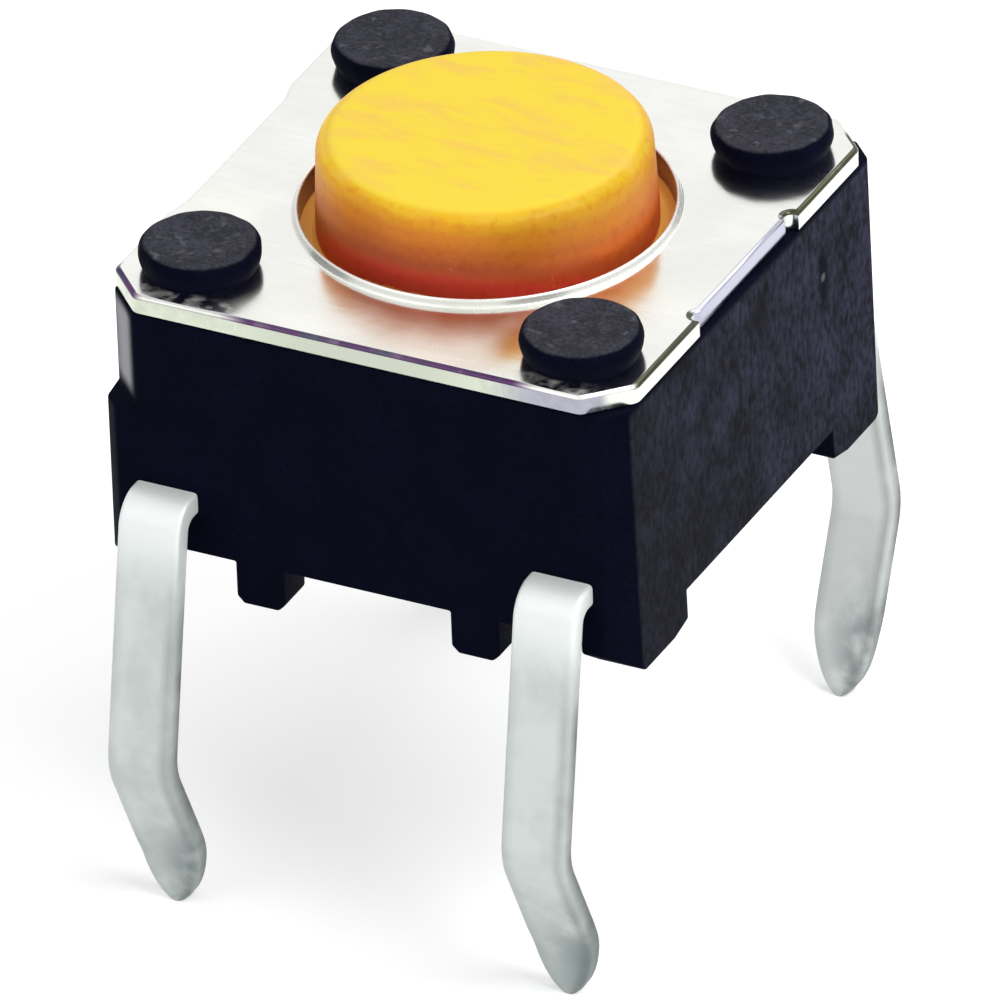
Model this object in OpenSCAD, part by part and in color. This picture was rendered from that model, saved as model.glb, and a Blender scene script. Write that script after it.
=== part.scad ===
/* Tactile push button switch, 6 mm square, through-hole.
   Origin: middle of the four-terminal pattern on the plane the switch seats on.
   +Z up through the plunger, +Y across the body from one pair of legs to the other. */

/* [Body] */
// Width of the moulded body, both ways
body_w = 6.0; // [5.7:0.05:6.6]
// Height of the body's top face above the seating plane
body_h = 3.18; // [3.1:0.01:3.6]
// Height of the body's underside above the seating plane
underside_z = 0.48; // [0.4:0.01:0.6]
// Cut across three upright corners of the body
body_corner = 0.3; // [0.25:0.01:0.4]
// Cut across the marked corner, below its ledge
mark_foot_corner = 0.2; // [0.1:0.01:0.3]
// Deeper cut across the marked corner, above its ledge
mark_corner = 0.46; // [0.4:0.01:0.6]
// Height of the ledge where the deeper cut ends
mark_ledge_z = 2.07; // [1.6:0.01:2.4]
// Moulding draft: how far each side leans in from the bottom to the top
draft_w = 0.03; // [0:0.01:0.08]

/* [Underside feet] */
// Width of each stand-off foot
foot_w = 0.55; // [0.4:0.05:0.8]
// Depth of each stand-off foot
foot_d = 0.48; // [0.3:0.02:0.6]
// Distance from the middle of a terminal to the middle of the stand-off foot beside it
foot_inset = 1.025; // [0.95:0.005:1.1]
// Width of each corner foot
corner_foot_w = 0.56; // [0.5:0.01:0.65]
// Length of each corner foot along the side
corner_foot_l = 1.33; // [1:0.01:1.6]
// How far each corner foot stops short of the seating plane
corner_foot_rise = 0.08; // [0:0.01:0.15]
// Height that the corner foot's bottom rises to at the terminal side
corner_foot_relief = 0.35; // [0.2:0.01:0.38]

/* [Cavity] */
// Thinnest wall between the cavity's bore and the body's side
cavity_wall = 0.6; // [0.55:0.01:0.7]
// Height of the cavity floor above the seating plane
floor_z = 1.3; // [1.25:0.01:1.4]

/* [Pegs] */
// Distance from the body's side to the middle of each peg
peg_inset = 0.83; // [0.8:0.01:0.9]
// Diameter of each peg's stem
peg_stem_d = 0.9; // [0.7:0.02:0.95]
// Diameter of each melted head
peg_head_d = 1.3; // [1.2:0.02:1.36]
// Height of each melted head above the plate
peg_head_h = 0.31; // [0.28:0.01:0.4]
// How far the head draws in where it meets the plate
peg_waist = 0.07; // [0.03:0.01:0.1]

/* [Cover plate] */
// How far the plate's edge sits in from the body's side
cover_inset = 0.025; // [0:0.005:0.1]
// Thickness of the plate
cover_t = 0.22; // [0.15:0.01:0.3]
// Cut across each corner of the plate
cover_corner = 0.44; // [0.3:0.02:0.6]
// Clearance round each peg stem in its hole
peg_hole_clear = 0.04; // [0.02:0.01:0.08]
// Broken edge round the top of the plate
cover_edge = 0.04; // [0.02:0.01:0.06]
// How far the plate laps over the plunger's flange
flange_lap = 0.32; // [0.25:0.01:0.4]
// Height of the lip round the plunger's hole
lip_h = 0.1; // [0.05:0.01:0.12]
// Width of that lip
lip_w = 0.1; // [0.08:0.01:0.12]
// How far the middle stretch of the left and right edges sits back
edge_setback = 0.07; // [0.03:0.01:0.1]
// Distance between the two notches at the ends of the right edge's stretch
notch_pitch = 2.1; // [1.8:0.05:2.6]
// Radius of each notch
notch_r = 0.09; // [0.06:0.01:0.12]
// Distance between the two ramps at the ends of the left edge's stretch
ramp_pitch = 2.45; // [1.8:0.05:2.6]
// Length of each ramp
ramp_l = 0.28; // [0.1:0.02:0.4]

/* [Plunger] */
// Gap round the button in the plate's hole
button_gap = 0.17; // [0.15:0.01:0.3]
// Height of the button's top above the plate
plunger_proud = 0.9; // [0.5:0.05:4]
// Rounding of the button's top edge
plunger_round = 0.2; // [0.1:0.01:0.3]
// How far the button's side leans in from the plate to its top
button_draft_w = 0.03; // [0:0.01:0.06]
// Gap round the flange in the cavity
flange_gap = 0.15; // [0.12:0.01:0.25]
// Thickness of the flange
flange_t = 0.5; // [0.3:0.02:0.7]
// Diameter of the stub that presses the dome
stub_d = 1.3; // [0.9:0.05:1.6]
// How far the plunger travels
travel = 0.25; // [0.15:0.01:0.28]

/* [Contact dome] */
// Gap round the dome in the cavity
dome_gap = 0.4; // [0.2:0.01:0.5]
// Height of the dome's outside above the floor
dome_h = 0.42; // [0.36:0.01:0.5]
// Thickness of the dome's sheet
dome_t = 0.07; // [0.05:0.01:0.09]

/* [Terminals] */
// Distance from the body's side to the middle of each terminal
terminal_inset = 0.75; // [0.7:0.01:0.85]
// Width of the strip and its legs
leg_w = 0.7; // [0.5:0.02:0.8]
// Thickness of the strip
leg_t = 0.25; // [0.2:0.01:0.3]
// Height of the strip's upper face above the seating plane
strip_top_z = 1.2; // [1.1:0.01:1.22]
// Bend radius on the inside of each leg's shoulder
bend_r = 0.12; // [0.08:0.01:0.2]
// Gap between the body and the back of each leg at its shoulder
leg_stand_off = 0.2; // [0.08:0.01:0.25]
// How far the knee stands out past the shoulder
knee_out = 0.54; // [0.3:0.02:0.6]
// Depth of the knee under the seating plane
knee_z = 1.72; // [1.4:0.02:1.8]
// Radius of the knee
knee_r = 0.65; // [0.4:0.05:1]
// Angle that the leg leans back in below the knee
knee_lean = 25; // [18:1:28]
// Distance from the toe's bend down to the tip
toe_rise = 0.65; // [0.4:0.05:0.8]
// Radius of the toe's bend
toe_r = 0.75; // [0.3:0.05:0.9]
// Angle that the toe still leans in
toe_lean = 10; // [0:1:14]
// Length of the legs under the seating plane
leg_len = 3.65; // [3.5:0.05:4]
// Length of the tapered tip
tip_taper = 0.95; // [0.5:0.05:1.1]
// Width of the strip's arm to the middle contact
arm_w = 0.8; // [0.5:0.05:1]
// Diameter of each raised contact
contact_d = 0.7; // [0.5:0.05:0.9]

/* [Hidden] */

// Smoothness of round solids and of computed arcs
$fn = 96;
ARC_STEPS = 10;
// Cutters pass through what they cut by this much
THROUGH = 1;
// Diagonal of a square with a side of one
DIAGONAL = sqrt(2);

half_w = body_w / 2;
cover_top = body_h + cover_t;
strip_z = strip_top_z - leg_t;

// Widths that follow the body's, from the cavity inwards
cavity_d = body_w - 2 * cavity_wall;
flange_d = cavity_d - 2 * flange_gap;
dome_d = cavity_d - 2 * dome_gap;
cover_hole_d = flange_d - 2 * flange_lap;
plunger_d = cover_hole_d - 2 * button_gap;
cover_w = body_w - 2 * cover_inset;
peg_pitch = body_w - 2 * peg_inset;
terminal_pitch = body_w - 2 * terminal_inset;
foot_pitch = terminal_pitch - 2 * foot_inset;
toe_z = leg_len - toe_rise;

// Pieces that meet while the switch works
dome_top = floor_z + dome_h;
stub_clear = 0.01;
flange_z = body_h - flange_t;
plunger_top = cover_top + plunger_proud;
contact_z = dome_top - dome_t - travel;

// Softened edges of the moulding
foot_edge = 0.08;
foot_end_l = 0.32;
foot_end_h = 0.07;
foot_relief_l = 0.36;
ledge_fall = 0.09;
cavity_lead_in = 0.06;

// Peg heads
head_r = peg_head_d / 2;
head_round = 0.35 * peg_head_h;
head_dish = 0.1 * peg_head_h;
waist_h = 0.4 * peg_head_h;

// Contacts
contact_skirt = 0.1;
contact_land = 0.2;
rim_contact_inset = 0.1;
rim_contact_r = dome_d / 2 - rim_contact_inset;
rim_contact_angle = 26;

// One leg, in the plane of Y and Z: shoulder, run out to the knee, lean back in to the toe, and tip
strip_mid_z = strip_top_z - leg_t / 2;
shoulder_r = bend_r + leg_t / 2;
lean_out = atan(knee_out / (strip_mid_z + knee_z));
shoulder_y = half_w + leg_stand_off - bend_r * cos(lean_out);
shoulder_c = [shoulder_y, strip_mid_z - shoulder_r];
shoulder_end = shoulder_c + shoulder_r * [cos(lean_out), sin(lean_out)];
knee = [shoulder_end.x + tan(lean_out) * (shoulder_end.y + knee_z), -knee_z];
knee_run = knee_r * tan((lean_out + knee_lean) / 2);
knee_start = knee - knee_run * [sin(lean_out), -cos(lean_out)];
knee_c = knee_start - knee_r * [cos(lean_out), sin(lean_out)];
toe = [knee.x - tan(knee_lean) * (toe_z - knee_z), -toe_z];
toe_run = toe_r * tan((knee_lean - toe_lean) / 2);
toe_start = toe + toe_run * [sin(knee_lean), cos(knee_lean)];
toe_c = toe_start + toe_r * [cos(knee_lean), -sin(knee_lean)];
tip = [toe.x - tan(toe_lean) * (leg_len - toe_z), -leg_len];

// Points on an arc about c, from angle a to angle b
function arc(c, r, a, b) = [
    for (i = [0 : ARC_STEPS]) let (t = a + (b - a) * i / ARC_STEPS) c + r * [cos(t), sin(t)]
];

// Points of one face of the leg, at a distance s from its middle line (plus is the outer face)
function leg_face(s) = concat(
    [[0, strip_mid_z + s]],
    arc(shoulder_c, shoulder_r + s, 90, lean_out),
    arc(knee_c, knee_r + s, lean_out, -knee_lean),
    arc(toe_c, s - toe_r, -knee_lean, -toe_lean),
    [tip + [s / cos(toe_lean), 0]]
);

function reversed(list) = [for (i = [len(list) - 1 : -1 : 0]) list[i]];

// Solid between y = -depth/2 and depth/2 from an outline drawn in X and Z
module along_y(depth) {
    rotate([90, 0, 0]) linear_extrude(depth, center = true) children();
}

// Solid between x = -depth/2 and depth/2 from an outline drawn in Y and Z
module along_x(depth) {
    rotate([90, 0, 90]) linear_extrude(depth, center = true) children();
}

module at_four(pitch) {
    for (x = [-pitch / 2, pitch / 2], y = [-pitch / 2, pitch / 2]) translate([x, y, 0]) children();
}

module mirrored(axis) {
    children();
    mirror(axis) children();
}

// Square outline with its corners cut, one of them by its own amount
module cut_square(w, cut, marked_cut) {
    h = w / 2;
    k = h - cut;
    m = h - marked_cut;
    polygon([[k, -h], [h, -k], [h, k], [k, h], [-k, h], [-h, k], [-h, -m], [-m, -h]]);
}

// Outline whose two upright sides lean in towards the top
module leaning_side(w, top, lean) {
    polygon([[-w / 2, 0], [w / 2, 0], [w / 2 - lean, top], [-w / 2 + lean, top]]);
}

module drafted_block() {
    intersection() {
        linear_extrude(body_h) cut_square(body_w, body_corner, mark_foot_corner);
        along_y(2 * body_w) leaning_side(body_w, body_h, draft_w);
        along_x(2 * body_w) leaning_side(body_w, body_h, draft_w);
    }
}

// Deeper cut at the top of one corner, ending in a ledge that falls outwards
module corner_mark() {
    inner = (body_w - mark_corner) / DIAGONAL;
    outer = half_w * DIAGONAL;
    rotate([0, 0, 225]) along_y(body_w / 2) polygon([
        [inner, mark_ledge_z], [outer, mark_ledge_z - ledge_fall],
        [outer, body_h + THROUGH], [inner, body_h + THROUGH]
    ]);
}

module stand_off_foot() {
    h = foot_w / 2;
    translate([foot_pitch / 2, half_w - foot_d / 2, 0]) along_y(foot_d) polygon([
        [-h, underside_z], [-h, foot_edge], [-h + foot_edge, 0],
        [h - foot_edge, 0], [h, foot_edge], [h, underside_z]
    ]);
}

module corner_foot() {
    inner = half_w - corner_foot_l;
    low = corner_foot_rise;
    translate([half_w - corner_foot_w / 2, 0, 0]) along_x(corner_foot_w) polygon([
        [half_w, corner_foot_relief], [half_w - foot_relief_l, low], [inner + foot_end_l, low],
        [inner, low + foot_end_h], [inner, underside_z], [half_w, underside_z]
    ]);
}

module feet() {
    mirrored([1, 0, 0]) mirrored([0, 1, 0]) {
        stand_off_foot();
        corner_foot();
    }
}

// Stem and melted head, which draws in where it meets the plate
module peg() {
    stem_z = body_h - cavity_lead_in;
    translate([0, 0, stem_z]) cylinder(d = peg_stem_d, h = cover_top + waist_h - stem_z);
    translate([0, 0, cover_top]) rotate_extrude() polygon(concat(
        [[0, 0], [head_r - peg_waist, 0], [head_r - peg_waist / 3, waist_h / 3], [head_r, waist_h]],
        arc([head_r - head_round, peg_head_h - head_round], head_round, 0, 90),
        [[0, peg_head_h - head_dish]]
    ));
}

// Moulded body with the four pegs that hold the cover plate
module base() {
    color([0.10, 0.10, 0.13]) {
        difference() {
            drafted_block();
            difference() {
                translate([0, 0, underside_z - body_h])
                    linear_extrude(body_h) square(2 * body_w, center = true);
                feet();
            }
            corner_mark();
            translate([0, 0, floor_z]) cylinder(d = cavity_d, h = body_h);
            translate([0, 0, body_h - cavity_lead_in])
                cylinder(d1 = cavity_d, d2 = cavity_d + 4 * cavity_lead_in, h = 2 * cavity_lead_in);
            left_strip();
            right_strip();
        }
        at_four(peg_pitch) peg();
    }
}

// Set-back stretch of the right edge, with a notch at each end
module notched_stretch() {
    edge = cover_w / 2 - edge_setback;
    translate([edge, -notch_pitch / 2]) square([edge_setback + THROUGH, notch_pitch]);
    mirrored([0, 1, 0]) translate([edge + edge_setback / 2, notch_pitch / 2]) circle(r = notch_r);
}

// Set-back stretch of the left edge, with a ramp at each end
module ramped_stretch() {
    edge = -cover_w / 2;
    outer = (ramp_pitch + ramp_l) / 2;
    inner = (ramp_pitch - ramp_l) / 2;
    polygon([
        [edge, -outer], [edge + edge_setback, -inner], [edge + edge_setback, inner],
        [edge, outer], [edge - THROUGH, outer], [edge - THROUGH, -outer]
    ]);
}

// Outline of the stamped plate, with its holes
module cover_outline() {
    difference() {
        cut_square(cover_w, cover_corner, cover_corner);
        circle(d = cover_hole_d);
        at_four(peg_pitch) circle(d = peg_stem_d + 2 * peg_hole_clear);
        notched_stretch();
        ramped_stretch();
    }
}

// Outline whose two upper corners are broken
module broken_edges(w, top) {
    h = w / 2;
    shoulder = top - cover_edge;
    rim = h - cover_edge;
    polygon([[-h, 0], [h, 0], [h, shoulder], [rim, top], [-rim, top], [-h, shoulder]]);
}

// Raised lip round the plunger's hole, rounded off by two small cuts
module lip() {
    r = cover_hole_d / 2;
    rim = lip_h / 3;
    rotate_extrude() polygon([
        [r, cover_t / 2], [r + lip_w, cover_t / 2], [r + lip_w, cover_t + rim],
        [r + lip_w - rim, cover_t + lip_h], [r + rim, cover_t + lip_h], [r, cover_t + lip_h - rim]
    ]);
}

module cover() {
    color([0.88, 0.89, 0.86]) translate([0, 0, body_h]) {
        intersection() {
            linear_extrude(cover_t) cover_outline();
            along_y(2 * cover_w) broken_edges(cover_w, cover_t);
            along_x(2 * cover_w) broken_edges(cover_w, cover_t);
        }
        lip();
    }
}

// Button, flange and stub, turned about the switch's axis
module plunger() {
    button_r = plunger_d / 2;
    top_r = button_r - button_draft_w;
    flange_r = flange_d / 2;
    stub_r = stub_d / 2;
    stub_z = dome_top + stub_clear;
    color([0.96, 0.78, 0.22]) rotate_extrude() polygon(concat(
        [[0, stub_z], [stub_r - foot_edge, stub_z], [stub_r, stub_z + foot_edge], [stub_r, flange_z]],
        [[flange_r - foot_edge, flange_z], [flange_r, flange_z + foot_edge], [flange_r, body_h]],
        [[button_r, body_h], [button_r, cover_top]],
        arc([top_r - plunger_round, plunger_top - plunger_round], plunger_round, 0, 90),
        [[0, plunger_top]]
    ));
}

// Shallow cap cut from a thin ball shell
module contact_dome() {
    rim_r = dome_d / 2;
    ball_r = (rim_r * rim_r + dome_h * dome_h) / (2 * dome_h);
    color([0.80, 0.80, 0.80]) intersection() {
        translate([0, 0, floor_z]) cylinder(r = rim_r, h = 2 * dome_h);
        translate([0, 0, dome_top - ball_r]) difference() {
            sphere(r = ball_r);
            sphere(r = ball_r - dome_t);
        }
    }
}

// Front outline of one leg, narrowing to a rounded point
module leg_front() {
    h = leg_w / 2;
    shoulder = -leg_len + tip_taper;
    top = strip_top_z + THROUGH;
    right = [for (p = arc([0, 0], 1, -90, 0)) [h * p.x, shoulder + tip_taper * p.y]];
    left = [for (p = reversed(right)) [-p.x, p.y]];
    polygon(concat(right, [[h, top], [-h, top]], left));
}

// Strip that crosses the body, with a leg bent down at each end
module leg_strip() {
    mirrored([0, 1, 0]) intersection() {
        along_x(leg_w) polygon(concat(leg_face(leg_t / 2), reversed(leg_face(-leg_t / 2))));
        along_y(4 * body_w) leg_front();
    }
}

module raised_contact(top) {
    low = strip_top_z - leg_t / 2;
    translate([0, 0, low]) cylinder(d1 = contact_d + contact_skirt, d2 = contact_d, h = top - low);
}

// Strip with the arm that carries the middle contact
module left_strip() {
    translate([-terminal_pitch / 2, 0, 0]) leg_strip();
    translate([0, 0, strip_z]) linear_extrude(leg_t) {
        translate([-terminal_pitch / 2, -arm_w / 2]) square([terminal_pitch / 2, arm_w]);
        circle(d = contact_d + 2 * contact_land);
    }
    raised_contact(contact_z);
}

// Strip with the plate that carries the two contacts under the dome's rim
module right_strip() {
    at_x = rim_contact_r * cos(rim_contact_angle);
    at_y = rim_contact_r * sin(rim_contact_angle);
    reach = contact_d / 2 + contact_land;
    half_plate = at_y + reach;
    translate([terminal_pitch / 2, 0, 0]) leg_strip();
    translate([0, 0, strip_z]) linear_extrude(leg_t)
        translate([at_x - reach, -half_plate]) square([terminal_pitch / 2 - at_x + reach, 2 * half_plate]);
    mirrored([0, 1, 0]) translate([at_x, at_y, 0]) raised_contact(floor_z);
}

module terminal_left() {
    color([0.82, 0.84, 0.83]) left_strip();
}

module terminal_right() {
    color([0.82, 0.84, 0.83]) right_strip();
}

base();
cover();
plunger();
contact_dome();
terminal_left();
terminal_right();
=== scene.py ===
"""Looks of the tactile push button switch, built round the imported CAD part. Sizes are in millimetres."""
import logging
import math
import random
from dataclasses import dataclass, field
from enum import Enum
from typing import Any, Dict, List, Optional, Sequence, Tuple, Union

import bmesh
import bpy
from mathutils import Matrix, Vector
from mathutils.geometry import tessellate_polygon


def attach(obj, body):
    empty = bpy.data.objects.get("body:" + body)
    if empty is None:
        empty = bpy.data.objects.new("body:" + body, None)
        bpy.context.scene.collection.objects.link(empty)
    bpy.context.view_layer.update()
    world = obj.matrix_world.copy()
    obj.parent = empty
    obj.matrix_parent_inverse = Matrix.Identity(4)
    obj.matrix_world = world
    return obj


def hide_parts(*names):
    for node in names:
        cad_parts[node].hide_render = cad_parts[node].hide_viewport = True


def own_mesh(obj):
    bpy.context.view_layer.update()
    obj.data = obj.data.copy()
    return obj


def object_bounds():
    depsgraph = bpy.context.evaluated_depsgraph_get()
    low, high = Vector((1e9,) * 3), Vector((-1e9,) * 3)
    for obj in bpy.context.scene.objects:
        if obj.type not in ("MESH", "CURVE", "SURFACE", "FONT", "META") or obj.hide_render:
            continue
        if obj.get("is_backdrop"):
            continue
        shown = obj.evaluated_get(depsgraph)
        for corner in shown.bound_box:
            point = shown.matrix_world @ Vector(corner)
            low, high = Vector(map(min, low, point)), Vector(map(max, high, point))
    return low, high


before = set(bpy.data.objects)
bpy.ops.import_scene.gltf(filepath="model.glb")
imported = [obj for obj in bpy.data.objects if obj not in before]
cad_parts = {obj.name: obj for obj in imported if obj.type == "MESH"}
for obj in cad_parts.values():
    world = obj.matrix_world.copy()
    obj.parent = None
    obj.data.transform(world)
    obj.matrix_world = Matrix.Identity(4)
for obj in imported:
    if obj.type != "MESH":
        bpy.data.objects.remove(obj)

log = logging.getLogger("switch")

MM = 0.001
PEG_PITCH = 4.34
LEG_PITCH = 4.5
HOLE_R = 1.93
PLATE_LOW = 3.18
PLATE_TOP = 3.40
BUTTON_TOP = 4.30
CAVITY_FLOOR = 1.3
LEG_TIP = -3.65
SHARP_ANGLE = 38.0
BEND_STEPS = 12
TIP_STEPS = 18
TIP_TURN = 87.5

Point2 = Tuple[float, float]
Point3 = Tuple[float, float, float]
Colour = Tuple[float, float, float, float]
Operand = Union["Value", float, Sequence[float]]

WHITE: Colour = (1.0, 1.0, 1.0, 1.0)
BLACK: Colour = (0.0, 0.0, 0.0, 1.0)


class Body(Enum):
    """The CAD bodies that pieces ride on."""

    HOUSING = "housing"
    BUTTON = "button"


class Slot(Enum):
    """The record's material slots."""

    BODY = "body_plastic"
    PLATE = "plate_metal"
    BUTTON = "button_plastic"
    DOME = "dome_metal"
    TERMINAL = "terminal_metal"


def opaque(colour: Sequence[float]) -> Colour:
    """Three linear channels with full alpha."""
    return (colour[0], colour[1], colour[2], 1.0)


def srgb(colour: Point3, gain: float = 1.0, lift: float = 0.0) -> Colour:
    """Linear colour from a colour on a display.

    Args:
        colour: Its channels, between 0 and 255.
        gain: What each channel is multiplied by first.
        lift: What is added to each channel after that.

    Returns:
        The linear colour, with full alpha.
    """

    def linear(value: float) -> float:
        """One channel from display to linear."""
        share = (gain * value + lift) / 255
        return share / 12.92 if share <= 0.04045 else ((share + 0.055) / 1.055) ** 2.4

    return opaque([linear(value) for value in colour])


# Shader values


class Value:
    """One output of a shader graph, with the arithmetic that joins it to others."""

    def __init__(self, graph: "Graph", socket: bpy.types.NodeSocket) -> None:
        """Keeps the graph and the output socket."""
        self.graph = graph
        self.socket = socket

    @staticmethod
    def _spread(operand: Operand, size: int) -> Operand:
        """A plain number as a vector or colour of that size; anything else as it is."""
        if isinstance(operand, (int, float)):
            return (operand,) * 3 + ((1.0,) if size == 4 else ())
        return operand

    def _join(self, operation: str, left: Operand, right: Operand) -> "Value":
        """Joins two operands, through the kind of node that suits them.

        Args:
            operation: The name of the sum, as the nodes know it.
            left: The first operand.
            right: The second operand.

        Returns:
            The result.
        """
        kinds = {v.socket.type for v in (left, right) if isinstance(v, Value)}
        if "RGBA" in kinds:
            return self.graph.node(
                "ShaderNodeMix",
                {"data_type": "RGBA", "blend_type": operation},
                {0: 1.0, 6: self._spread(left, 4), 7: self._spread(right, 4)},
                2,
            )
        if "VECTOR" in kinds:
            return self.graph.node(
                "ShaderNodeVectorMath",
                {"operation": operation},
                {0: self._spread(left, 3), 1: self._spread(right, 3)},
            )
        return self.graph.node("ShaderNodeMath", {"operation": operation}, {0: left, 1: right})

    def __add__(self, other: Operand) -> "Value":
        """Sum."""
        return self._join("ADD", self, other)

    def __radd__(self, other: Operand) -> "Value":
        """Sum, with this value on the right."""
        return self._join("ADD", other, self)

    def __sub__(self, other: Operand) -> "Value":
        """Difference."""
        return self._join("SUBTRACT", self, other)

    def __rsub__(self, other: Operand) -> "Value":
        """Difference, with this value on the right."""
        return self._join("SUBTRACT", other, self)

    def __mul__(self, other: Operand) -> "Value":
        """Product."""
        return self._join("MULTIPLY", self, other)

    def __rmul__(self, other: Operand) -> "Value":
        """Product, with this value on the right."""
        return self._join("MULTIPLY", other, self)

    def larger(self, other: Operand) -> "Value":
        """The larger of two numbers."""
        return self._join("MAXIMUM", self, other)

    def length(self) -> "Value":
        """The length of a vector."""
        return self.graph.node("ShaderNodeVectorMath", {"operation": "LENGTH"}, {0: self}, 1)

    def step(self, low: float, high: float) -> "Value":
        """Smooth step of this number.

        Args:
            low: Where the step is still 0.
            high: Where it is 1. It may be under low, for a step down.

        Returns:
            A number from 0 to 1.
        """
        flip = high < low
        return self.graph.node(
            "ShaderNodeMapRange",
            {"interpolation_type": "SMOOTHSTEP"},
            {0: self, 1: min(low, high), 2: max(low, high), 3: float(flip), 4: float(not flip)},
        )

    def mix(self, off: Operand, on: Operand) -> "Value":
        """Colour between two colours: off where this number is 0, and on where it is 1."""
        return self.graph.node("ShaderNodeMix", {"data_type": "RGBA"}, {0: self, 6: off, 7: on}, 2)


class Graph:
    """The shader graph of one material or of the world."""

    def __init__(self, tree: bpy.types.NodeTree) -> None:
        """Clears the tree and keeps it."""
        self.tree = tree
        self.tree.nodes.clear()

    def node(
        self,
        kind: str,
        settings: Optional[Dict[str, Any]] = None,
        inputs: Optional[Dict[Union[int, str], Any]] = None,
        output: Union[int, str] = 0,
    ) -> Value:
        """Adds one node.

        Args:
            kind: The node's type name.
            settings: Its properties, which are set before its sockets.
            inputs: Values or plain constants for its input sockets, by name or place.
            output: The output that is wanted.

        Returns:
            That output.
        """
        made = self.tree.nodes.new(kind)
        for name, value in (settings or {}).items():
            setattr(made, name, value)
        for key, value in (inputs or {}).items():
            if isinstance(value, Value):
                self.tree.links.new(value.socket, made.inputs[key])
            else:
                made.inputs[key].default_value = value
        return Value(self, made.outputs[output]) if made.outputs else Value(self, None)

    def position(self) -> Value:
        """Place on the piece, in millimetres."""
        return self.node("ShaderNodeTexCoord", output="Object") * (1 / MM)

    def facing(self) -> Value:
        """Direction that the surface faces, in the axes of the piece."""
        return self.node("ShaderNodeTexCoord", output="Normal")

    def parts(self, vector: Value) -> List[Value]:
        """The three numbers of a vector."""
        split = self.node("ShaderNodeSeparateXYZ", None, {0: vector})
        return [Value(self, socket) for socket in split.socket.node.outputs]

    def noise(self, place: Value, scale: float, detail: float = 2.0, stretch: Point3 = (1, 1, 1)) -> Value:
        """Cloudy noise from 0 to 1.

        Args:
            place: Where it is read, in millimetres.
            scale: Cells in a millimetre.
            detail: Layers of finer noise.
            stretch: Cells along each axis, as a share of scale.

        Returns:
            The noise.
        """
        return self.node(
            "ShaderNodeTexNoise", None, {"Vector": place * stretch, "Scale": scale, "Detail": detail}, "Fac"
        )

    def mark(self) -> Value:
        """The mark stored on the mesh, from 0 to 1."""
        return self.node("ShaderNodeAttribute", {"attribute_name": Solid.MARK}, output="Fac")

    def bump(self, height: Value, depth: float, strength: float = 1.0) -> Value:
        """Normal of a surface that rises by a depth in millimetres, as a height goes from 0 to 1."""
        return self.node(
            "ShaderNodeBump", None, {"Height": height, "Distance": depth * MM, "Strength": strength}
        )


# Finishes


@dataclass(frozen=True)
class Finish:
    """A surface: its name, and the constants of its shader."""

    name: str
    colour: Point3
    roughness: float
    metallic: float = 0.0
    specular: float = 0.5

    def surface(self, graph: Graph, place: Value) -> Dict[str, Any]:
        """The varying inputs of the shader.

        Args:
            graph: The material's graph.
            place: Place on the piece, in millimetres.

        Returns:
            Inputs of the shader by name.
        """
        raise NotImplementedError

    def material(self) -> bpy.types.Material:
        """The finished material."""
        made = bpy.data.materials.new(self.name)
        made.use_nodes = True
        graph = Graph(made.node_tree)
        inputs = {"Metallic": self.metallic, "Specular IOR Level": self.specular}
        inputs.update(self.surface(graph, graph.position()))
        shader = graph.node("ShaderNodeBsdfPrincipled", None, inputs)
        graph.node("ShaderNodeOutputMaterial", None, {"Surface": shader})
        return made


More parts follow.
